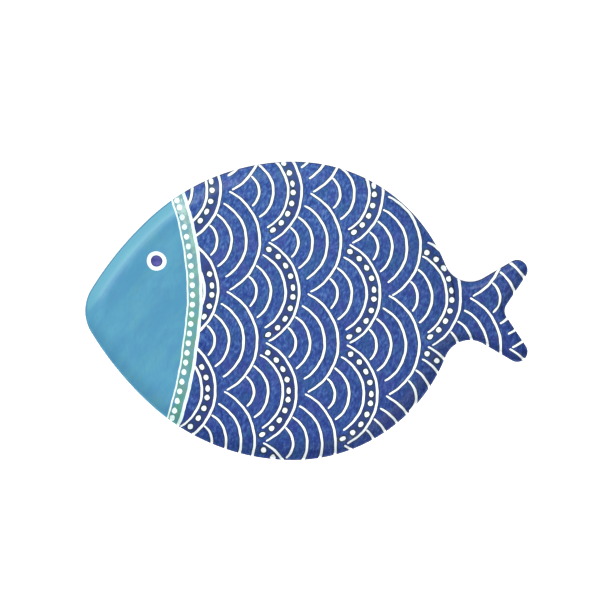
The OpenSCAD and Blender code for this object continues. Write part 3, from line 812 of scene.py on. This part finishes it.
def hand_for(stroke, tapered):
    """Wavers of a line's place and of its width, which swells between the ends of a brush stroke."""
    marks = along_path(stroke.path)
    place = waver(marks, PLACE_WAVER, PLACE_WAVE)
    width = waver(marks, WIDTH_WAVER, WIDTH_WAVE)
    # An end that an edge cuts off is drawn like the middle of a stroke
    if tapered:
        first = 0.5 if stroke.cut_first else 0
        last = 0.5 if stroke.cut_last else 1
        swell = np.sin(math.pi * mix(first, last, marks / marks[-1])) ** SWELL_POWER
        width = width + mix(LINE_END, LINE_MIDDLE, swell) - 1
    return place, width


def uneven_edge():
    return [drawing.uniform(-DOT_UNEVEN, DOT_UNEVEN) for _ in range(3)]


def dot(place, radius, lift, uneven, stretch=1, way=0, dome=DOT_DOME):
    """A dot, a little uneven and longer along the way it lies. The dome is how far its edge drops."""
    near_edge = depth_inside(place[None])[0] < radius * stretch + LIP_RADIUS
    count = EDGE_DOT_RINGS if near_edge else DOT_RINGS
    shares = np.arange(1, count + 1) / count
    heights = 1 - dome + dome * np.sqrt(1 - shares ** 2)
    turns = np.arange(DOT_SIDES) * 2 * math.pi / DOT_SIDES
    edge = 1 + sum(u * np.cos((k + 2) * turns) for k, u in enumerate(uneven))
    size = radius / math.sqrt(stretch)
    circle = turned(directions(turns) * vector(stretch, 1) * (edge * size)[:, None], way)
    flat = np.vstack([place[None]] + [place + circle * share for share in shares])
    crown = np.concatenate([[1], np.repeat(heights, DOT_SIDES)])
    faces = [(0, 1 + i, 1 + (i + 1) % DOT_SIDES) for i in range(DOT_SIDES)]
    return inked(flat, crown, lift, faces + tube_faces(count, DOT_SIDES, first=1))


# Places of the scales in the print's own frame
def shift_of(column, row):
    return SCALE_SHIFTS.get((column, row), EVEN)


def scale_apex(column, row):
    shift = shift_of(column, row)
    high = (row + (column % 2) / 2) * SCALE_PITCH + shift.up
    return FIRST_COLUMN + vector(column * COLUMN_STEP + shift.across, high)


def line_centre(column, row, line):
    return scale_apex(column, row) - (line.back + line.radius) * direction(shift_of(column, row).lean)


def line_points(column, row, line, turns):
    shift = shift_of(column, row)
    ways = turns + shift.lean
    height = np.where(ways > 0, shift.tall, 1) * np.sin(ways)
    return line_centre(column, row, line) + line.radius * np.column_stack([np.cos(ways), height])


def clear_of_cover(points, column, row):
    """Distance of points out from the outer lines of the two scales that cover this one."""
    upper = row if column % 2 == 0 else row + 1
    centres = [line_centre(column - 1, r, OUTER_LINE) for r in (upper - 1, upper)]
    return np.min([np.linalg.norm(points - c, axis=1) for c in centres], axis=0) - OUTER_LINE.radius


def runs(flags):
    """First and last index of each unbroken stretch of true flags."""
    edges = np.flatnonzero(np.diff(np.concatenate([[0], flags.astype(int), [0]])))
    return [(a, b - 1) for a, b in zip(edges[::2], edges[1::2]) if b - a >= SHORTEST_RUN]


def on_print(points, overrun, past_gill=0):
    dish = turned(points, PRINT_TURN)
    return (depth_inside(dish) > -overrun) & (behind_gill(dish, GILL_X + GILL_WIDTH) > past_gill)


def shown_strokes(column, row, line):
    """The stretches of one line of a scale that show, as strokes on the dish."""
    turns = np.arange(line.lower_trim - CUSP_TURN, CUSP_TURN, TEST_TURN)
    points = line_points(column, row, line, turns)
    gaps = np.where(turns > 0, line.upper_gap, line.lower_gap)
    printed = on_print(points, OVERRUN, LINE_EDGE)
    dish = turned(points, PRINT_TURN)
    depth = depth_inside(dish)
    strokes = []
    for first, last in runs(printed & (clear_of_cover(points, column, row) > gaps)):
        if depth[first:last + 1].max() > LEAST_DEPTH:
            cut_first = first > 0 and not printed[first - 1]
            cut_last = last + 1 < len(turns) and not printed[last + 1]
            strokes.append(Stroke(dish[first:last + 1], cut_first, cut_last))
    return strokes


def every_scale(columns=SCALE_COLUMNS, step=1):
    return [(c, r) for c in range(0, columns, step) for r in range(-SCALE_ROWS, SCALE_ROWS + 1)]


def scale_line_meshes():
    """The white lines of all the scales, and the darker edges where the colour gathered beside them."""
    lines, edges = [], []
    for column, row in every_scale():
        for line in (OUTER_LINE, SECOND_LINE, THIRD_LINE, INNER_LINE):
            for stroke in shown_strokes(column, row, line):
                hand = hand_for(stroke, True)
                lines.append(ribbon(stroke, LINE_WIDTH, LINE_LIFT, hand))
                edges.append(ribbon(stroke, LINE_WIDTH + 2 * LINE_EDGE, EDGE_LIFT, hand))
    return joined(lines), joined(edges)


def band_line(share, out=0):
    """The line that lies a share of the way from a band's outer edge to its inner one, moved out in it."""
    radius = mix(OUTER_LINE.radius, SECOND_LINE.radius, share)
    return ScaleLine(SECOND_LINE.back * share - out, radius + out)


def band_stretch(column, row, line, around, trim):
    """Turns between which one line within a band shows, near the turn given, or none."""
    turns = np.arange(trim + BAND_LOWER_GAP - CUSP_TURN, CUSP_TURN - BAND_UPPER_GAP - trim, TEST_TURN / 2)
    points = line_points(column, row, line, turns)
    shown = on_print(points, 0) & (clear_of_cover(points, column, row) > 0)
    for first, last in runs(shown):
        if turns[first] <= around <= turns[last]:
            return turns[first], turns[last]
    return None


def band_between(column, row, around):
    """The part of a scale's band that shows near a turn, or none."""
    rows = []
    for share in np.linspace(0, 1, BAND_ROWS):
        line = band_line(share)
        stretch = band_stretch(column, row, line, around, BAND_END_ROUND * (2 * share - 1) ** 2)
        if stretch is None:
            return None
        rows.append((line, stretch))
    count = max(2, int((rows[0][1][1] - rows[0][1][0]) * OUTER_LINE.radius / RIM_LINE_STEP))
    flat = [line_points(column, row, line, np.linspace(*stretch, count)) for line, stretch in rows]
    flat = turned(np.vstack(flat), PRINT_TURN)
    return inked(flat, np.ones(len(flat)), BAND_LIFT, grid_faces(BAND_ROWS, count))


def band_mesh():
    bands = []
    middle = band_line(0.5)
    for column, row in every_scale(DOTTED_COLUMNS, 2):
        for stroke in shown_strokes(column, row, middle):
            centre = turned(stroke.path, -PRINT_TURN) - line_centre(column, row, middle)
            turns = np.unwrap(np.arctan2(centre[:, 1], centre[:, 0])) - shift_of(column, row).lean
            band = band_between(column, row, turns[len(turns) // 2])
            if band:
                bands.append(band)
    return joined(bands)


def scale_dot_meshes():
    """The white dots of the bands, and the dark that the colour left round them."""
    half = len(DOT_STRETCH) // 2
    dots, halos = [], []
    for column, row in every_scale(DOTTED_COLUMNS, 2):
        shift = SCALE_DOTS.get((column, row)) or ROW_DOTS.get(row, ROW_DOTS[0])
        middle = band_line(0.5, shift.out)
        for i, stretch in enumerate(DOT_STRETCH):
            side = 1 if i >= half else -1
            steps = i - half if i >= half else half - 1 - i
            turn = FIRST_DOT_TURN + shift.turn + side * (APEX_DOT_GAP / 2 + steps * DOT_TURN)
            place = line_points(column, row, middle, np.array([turn]))
            if on_print(place, 0, DOT_RADIUS / 2)[0] and (column, row, i) not in CROWDED_DOTS:
                way = turn + math.pi / 2 + PRINT_TURN + shift_of(column, row).lean
                place = turned(place, PRINT_TURN)[0]
                uneven = uneven_edge()
                dots.append(dot(place, DOT_RADIUS, DOT_LIFT, uneven, stretch, way))
                halos.append(dot(place, DOT_RADIUS + DOT_HALO, HALO_LIFT, uneven, stretch, way, 0))
    return joined(dots), joined(halos)


def lip_shade_stroke():
    """A thin dark line along the edge of the scales: painted shade where the lip rolls over and faces away
    from the light.
    """
    upper, lower = inset_halves(LIP_SHADE_INSET)
    path = np.vstack([upper[REAR:], lower[LAST - 1:REAR - 1:-1]])
    still = np.zeros(len(path))
    return ribbon(Stroke(path, True, True), LIP_SHADE_WIDTH, EDGE_LIFT, (still, still))


def gill_line_mesh():
    heights = np.linspace(HALF_WIDTH, -HALF_WIDTH, GILL_LINE_POINTS)
    lines = []
    for x, width in ((GILL_X, GILL_FRONT_LINE), (GILL_X + GILL_WIDTH, GILL_REAR_LINE)):
        curve = gill_curve(x, heights)
        stroke = Stroke(curve[depth_inside(curve) > -OVERRUN], True, True)
        lines.append(ribbon(stroke, width, DOT_LIFT, hand_for(stroke, False)))
    return joined(lines)


def gill_dot_mesh():
    count = math.ceil(HALF_WIDTH / GILL_DOT_STEP)
    heights = GILL_FIRST_DOT_Y + np.arange(-count, count + 1) * GILL_DOT_STEP
    middle = GILL_X + GILL_DOT_INSET
    heights = heights[depth_inside(gill_curve(middle, heights)) > 0]
    fine = np.linspace(-HALF_WIDTH, HALF_WIDTH, GILL_TEST_POINTS)
    roomy = fine[depth_inside(gill_curve(middle, fine)) > GILL_DOT_ROOM]
    places = gill_curve(middle, np.clip(heights, roomy[0], roomy[-1]))
    return joined([dot(place, GILL_DOT_RADIUS, DOT_LIFT, uneven_edge(), GILL_DOT_STRETCH, math.pi / 2)
                   for place in places])


def eye_ring_mesh():
    turns = np.arange(EYE_SIDES) * 2 * math.pi / EYE_SIDES
    edge = 1 + EYE_OVAL * np.cos(2 * turns + EYE_OVAL_TURN) + EYE_CORNERS * np.cos(3 * turns)
    radii = [mix(PUPIL_RADIUS, EYE_RADIUS, out) for out, _ in EYE_RING_SECTION]
    flat = np.vstack([EYE_PLACE + directions(turns) * (edge * radius)[:, None] for radius in radii])
    crown = np.repeat([height for _, height in EYE_RING_SECTION], EYE_SIDES)
    return inked(flat, crown, LINE_LIFT, tube_faces(len(radii), EYE_SIDES))


# Finishes: colours are given as they look on a screen
INK_DEPTH = 0.74
# The way that the rim above the fish's eye faces where a painted highlight, a sheen of the key light, makes
# it paler
RIM_SHEEN_SIDE = (0.64, -0.77, 0)
# Shares of red, green and blue that are left at the lower edge of the fish and at its tail's tips
FADE_DOWN = (0.45, 0.53, 0.72, 1)
FADE_TO_TAIL = (0.65, 0.65, 0.74, 1)
# Where the gill band starts to darken towards the belly, and where it is darkest
GILL_FADE_FROM = 0.75 * HALF_WIDTH
GILL_FADE_TO = -0.5 * HALF_WIDTH
PUPIL_DARK_FROM = 0.72 * PUPIL_RADIUS
PEEL_SIZE = 6 * MM
PEEL_HEIGHT = 0.012 * MM
PEEL_SEED = 5
# How far apart the noises of two seeds lie
NOISE_SHIFT = np.array([13 * MM, 29 * MM, 7 * MM])
# Numbers of the Mix node's sockets for colours
MIX_FIRST, MIX_SECOND, MIX_RESULT = 6, 7, 2


def screen(red, green, blue):
    linear = [((c / 255 + 0.055) / 1.055) ** 2.4 for c in (red, green, blue)]
    return (*linear, 1)


def ink(red, green, blue):
    """A colour of the print, laid on darker because the light is bright enough to bleach white."""
    return (*(c * INK_DEPTH for c in screen(red, green, blue)[:3]), 1)


def set_inputs(node, inputs):
    """Sets the inputs of a shader node, and links those whose value is another node's output."""
    for name, value in inputs.items():
        if isinstance(value, bpy.types.NodeSocket):
            node.id_data.links.new(value, node.inputs[name])
        else:
            node.inputs[name].default_value = value


class Finish:
    """A gloss finish whose colour and bump come from noise. The gloss of the print is the usual one."""

    def __init__(self, name, roughness=0.5, specular=0.2, coat=0.12, coat_roughness=0.25):
        self.material = bpy.data.materials.new(name)
        self.material.use_nodes = True
        self.shader = self.material.node_tree.nodes["Principled BSDF"]
        set_inputs(self.shader, {"Roughness": roughness, "Specular IOR Level": specular,
                                 "Coat Weight": coat, "Coat Roughness": coat_roughness})
        self.coordinates = self.node("TexCoord", {}).outputs
        self.place = self.coordinates["Object"]

    def node(self, kind, inputs, **settings):
        node = self.material.node_tree.nodes.new("ShaderNode" + kind)
        for name, value in settings.items():
            setattr(node, name, value)
        set_inputs(node, inputs)
        return node

    def noise(self, size, turn=0, detail=3, seed=0):
        spread = {"Location": seed * NOISE_SHIFT, "Rotation": (0, 0, turn), "Scale": size}
        spread["Vector"] = self.place
        place = self.node("Mapping", spread, vector_type="TEXTURE").outputs["Vector"]
        return self.node("TexNoise", {"Vector": place, "Scale": 1, "Detail": detail}).outputs["Fac"]

    def ramp(self, value, stops):
        node = self.node("ValToRGB", {"Fac": value})
        spots = node.color_ramp.elements
        while len(spots) < len(stops):
            spots.new(1)
        for spot, (place, colour) in zip(spots, stops):
            spot.position = place
            spot.color = colour
        return node.outputs["Color"]

    def share(self, value, low, high, most=1):
        span = {"Value": value, "From Min": low, "From Max": high, "To Max": most}
        return self.node("MapRange", span).outputs["Result"]

    def blend(self, share, first, second, way="MIX"):
        inputs = {"Factor": share, MIX_FIRST: first, MIX_SECOND: second}
        return self.node("Mix", inputs, data_type="RGBA", blend_type=way).outputs[MIX_RESULT]

    def stain(self, base, colour, value, start, full, most=1):
        """Lays a colour over another where a value passes its start, and most of it where it is full."""
        return self.blend(self.share(value, start, full, most), base, colour)

    def axis(self, name):
        return self.node("SeparateXYZ", {"Vector": self.place}).outputs[name]

    def deepened(self, base):
        """A colour that deepens from the back of the fish to its belly."""
        return self.blend(self.share(self.axis("Y"), HALF_WIDTH, -HALF_WIDTH), base, FADE_DOWN, "MULTIPLY")

    def distance(self, centre):
        return self.node("VectorMath", {0: self.place, 1: centre}, operation="DISTANCE").outputs["Value"]

    def slope(self, side):
        """How steeply the surface faces one side, from 0 on the level."""
        inputs = {0: self.coordinates["Normal"], 1: side}
        return self.node("VectorMath", inputs, operation="DOT_PRODUCT").outputs["Value"]

    def finished(self, colour):
        """The material with this colour, and with a faint unevenness of the moulded gloss."""
        peel = self.noise((PEEL_SIZE, PEEL_SIZE, PEEL_SIZE), detail=1, seed=PEEL_SEED)
        bump = self.node("Bump", {"Height": peel, "Distance": PEEL_HEIGHT, "Strength": 1}).outputs["Normal"]
        set_inputs(self.shader, {"Base Color": colour, "Normal": bump, "Coat Normal": bump})
        return self.material


def moulded_finish():
    finish = Finish("moulded_white", roughness=0.35, specular=0.4, coat=0.3, coat_roughness=0.2)
    cloud = finish.noise((60 * MM, 60 * MM, 60 * MM))
    tone = finish.ramp(cloud, [(0.3, screen(216, 217, 214)), (0.7, screen(228, 228, 225))])
    return finish.finished(tone)


def head_finish():
    finish = Finish("head_wash")
    wash = finish.noise((44 * MM, 20 * MM, 30 * MM), turn=0.9, detail=4)
    base = finish.ramp(wash, [(0.3, ink(78, 152, 192)), (0.5, ink(86, 160, 196)), (0.7, ink(98, 172, 202))])
    violet = finish.noise((24 * MM, 10 * MM, 20 * MM), turn=1.0, seed=2)
    base = finish.stain(base, ink(86, 142, 190), violet, 0.55, 0.75, 0.5)
    green = finish.noise((40 * MM, 14 * MM, 20 * MM), turn=0.8, seed=3)
    base = finish.stain(base, ink(100, 176, 186), green, 0.54, 0.72, 0.5)
    grain = finish.noise((2 * MM, 6 * MM, 4 * MM), seed=4)
    base = finish.stain(base, ink(72, 142, 182), grain, 0.5, 0.8, 0.3)
    # Painted highlight: the rim above the eye is made paler where its slope faces the key light
    base = finish.stain(base, ink(118, 192, 208), finish.slope(RIM_SHEEN_SIDE), 0.4, 0.5, 0.6)
    return finish.finished(base)


def gill_finish():
    finish = Finish("gill_wash")
    fall = finish.share(finish.axis("Y"), GILL_FADE_FROM, GILL_FADE_TO)
    pale = [(0, ink(196, 228, 222)), (0.25, ink(152, 204, 194))]
    deep = [(0.6, ink(112, 176, 160)), (1, ink(88, 160, 144))]
    base = finish.ramp(fall, pale + deep)
    blue = finish.noise((5 * MM, 14 * MM, 9 * MM), detail=4)
    base = finish.stain(base, ink(104, 166, 186), blue, 0.44, 0.58, 0.8)
    grey = finish.noise((4 * MM, 5 * MM, 9 * MM), detail=4, seed=2)
    base = finish.stain(base, ink(130, 160, 160), grey, 0.48, 0.62, 0.5)
    return finish.finished(base)


def scale_finish():
    finish = Finish("scale_wash")
    streaks = finish.noise((2.6 * MM, 5 * MM, 5 * MM), turn=-0.3, detail=6)
    blues = [(0.34, ink(34, 66, 148)), (0.5, ink(63, 105, 181)), (0.66, ink(102, 142, 204))]
    base = finish.ramp(streaks, blues)
    violet = finish.noise((14 * MM, 20 * MM, 20 * MM), turn=0.4, seed=2)
    base = finish.stain(base, ink(80, 90, 174), violet, 0.52, 0.64, 0.6)
    teal = finish.noise((12 * MM, 18 * MM, 20 * MM), turn=-0.4, seed=3)
    base = finish.stain(base, ink(56, 112, 162), teal, 0.53, 0.65, 0.6)
    grain = finish.noise((1.5 * MM, 3 * MM, 2 * MM), turn=-0.2, detail=2, seed=4)
    base = finish.stain(base, ink(38, 68, 146), grain, 0.46, 0.62, 0.7)
    base = finish.deepened(base)
    base = finish.blend(finish.share(finish.axis("X"), 0, TIP_X), base, FADE_TO_TAIL, "MULTIPLY")
    return finish.finished(base)


def navy_finish(name, deep, pale, tint):
    finish = Finish(name)
    wash = finish.noise((6 * MM, 9 * MM, 8 * MM), detail=4)
    base = finish.ramp(wash, [(0.3, deep), (0.7, pale)])
    violet = finish.noise((9 * MM, 12 * MM, 9 * MM), seed=3)
    return finish.finished(finish.deepened(finish.stain(base, tint, violet, 0.52, 0.7, 0.7)))


def pupil_finish():
    finish = Finish("pupil_ink")
    wash = finish.noise((4 * MM, 5 * MM, 5 * MM), detail=4)
    base = finish.ramp(wash, [(0.35, ink(68, 72, 152)), (0.65, ink(104, 102, 184))])
    height = float(foil_height(EYE_PLACE[None])[0])
    out = finish.distance((*EYE_PLACE, height))
    return finish.finished(finish.stain(base, ink(48, 60, 92), out, PUPIL_DARK_FROM, PUPIL_RADIUS))


def white_finish(name, dull, clear):
    finish = Finish(name)
    wash = finish.noise((5 * MM, 7 * MM, 6 * MM))
    return finish.finished(finish.ramp(wash, [(0.3, dull), (0.65, clear)]))


def make_platter():
    white = white_finish("white_ink", screen(228, 240, 245), screen(246, 250, 252))
    gill_white = white_finish("gill_white_ink", screen(204, 232, 226), screen(234, 246, 240))
    band_ink = navy_finish("band_ink", ink(48, 69, 134), ink(61, 90, 158), ink(70, 70, 142))
    edge_ink = navy_finish("edge_ink", ink(46, 70, 88), ink(64, 90, 108), ink(60, 70, 102))
    # Painted shade: a dark line of ink along the lip of the scales
    painted_lip_shade = navy_finish("painted_lip_shade", ink(34, 50, 96), ink(46, 66, 116), ink(48, 48, 104))
    lines, edges = scale_line_meshes()
    dots, halos = scale_dot_meshes()
    body = joined([shell_mesh(), foot_mesh()])
    make_piece("platter_shell", body, moulded_finish(), "platter_body")
    make_piece("head_print", head_mesh(), head_finish(), "head_foil")
    make_piece("gill_print", gill_mesh(), gill_finish(), "gill_foil")
    make_piece("scale_print", scale_mesh(), scale_finish(), "scale_foil")
    make_piece("band_ink", band_mesh(), band_ink, "dot_bands")
    make_piece("line_edge_ink", joined([edges, halos]), edge_ink)
    make_piece("painted_lip_shade", lip_shade_stroke(), painted_lip_shade)
    make_piece("line_ink", lines, white, "scale_lines")
    make_piece("dot_ink", dots, white, "scale_dots")
    make_piece("gill_line_ink", gill_line_mesh(), gill_white, "gill_lines")
    make_piece("gill_dot_ink", gill_dot_mesh(), gill_white, "gill_dots")
    make_piece("eye_ring_ink", eye_ring_mesh(), white, "eye_ring")
    pupil = dot(EYE_PLACE, PUPIL_RADIUS * PUPIL_OVERLAP, DOT_LIFT, uneven_edge())
    make_piece("eye_pupil_ink", pupil, pupil_finish(), "eye_pupil")


# Floor, lights and camera
FLOOR_SIZE = 30.0
FLOOR_COLOUR = screen(246, 246, 246)
FLOOR_GLOW = 0.45
FLOOR_ROUGHNESS = 0.9
FLOOR_SPECULAR = 0.1
SKY_STRENGTH = 0.5
KEY_PLACE = (1.0, -1.3, 1.5)
KEY_POWER = 54
FILL_PLACE = (-1.0, 1.3, 1.5)
FILL_POWER = 18
LIGHT_SIZE = 1.6
PIXELS = 600
FISH_PIXELS = 443
FISH_CENTRE_PIXEL = vector(306.5, 310.9)
LENS = 135
SENSOR = 36


def make_floor():
    bpy.ops.mesh.primitive_plane_add(size=FLOOR_SIZE, location=(0, 0, 0))
    floor = bpy.context.object
    floor.name = "floor"
    material = bpy.data.materials.new("floor_paper")
    material.use_nodes = True
    set_inputs(material.node_tree.nodes["Principled BSDF"], {
        "Base Color": FLOOR_COLOUR, "Roughness": FLOOR_ROUGHNESS, "Specular IOR Level": FLOOR_SPECULAR,
        "Emission Color": FLOOR_COLOUR, "Emission Strength": FLOOR_GLOW,
    })
    floor.data.materials.append(material)


def make_light(name, place, power):
    data = bpy.data.lights.new(name, "AREA")
    data.shape = "DISK"
    data.size = LIGHT_SIZE
    data.energy = power
    light = bpy.data.objects.new(name, data)
    light.location = place
    bpy.context.scene.collection.objects.link(light)
    aim = light.constraints.new("TRACK_TO")
    aim.target = frame["bodies"]["root"]
    aim.track_axis = "TRACK_NEGATIVE_Z"
    aim.up_axis = "UP_Y"


def make_world():
    world = bpy.data.worlds.new("studio")
    world.use_nodes = True
    set_inputs(world.node_tree.nodes["Background"], {"Color": (1, 1, 1, 1), "Strength": SKY_STRENGTH})
    bpy.context.scene.world = world


def make_camera():
    pixel = LENGTH / FISH_PIXELS
    away = (FISH_CENTRE_PIXEL - PIXELS / 2) * pixel
    data = bpy.data.cameras.new("camera")
    data.lens = LENS
    data.sensor_width = SENSOR
    data.clip_end = FLOOR_SIZE
    camera = bpy.data.objects.new("camera", data)
    camera.location = (-away[0], away[1], LIP_Z + PIXELS * pixel * LENS / SENSOR)
    bpy.context.scene.collection.objects.link(camera)
    bpy.context.scene.camera = camera


make_camera()
make_world()
make_floor()
make_light("key", KEY_PLACE, KEY_POWER)
make_light("fill", FILL_PLACE, FILL_POWER)
make_platter()
bpy.context.scene.view_settings.view_transform = "Standard"
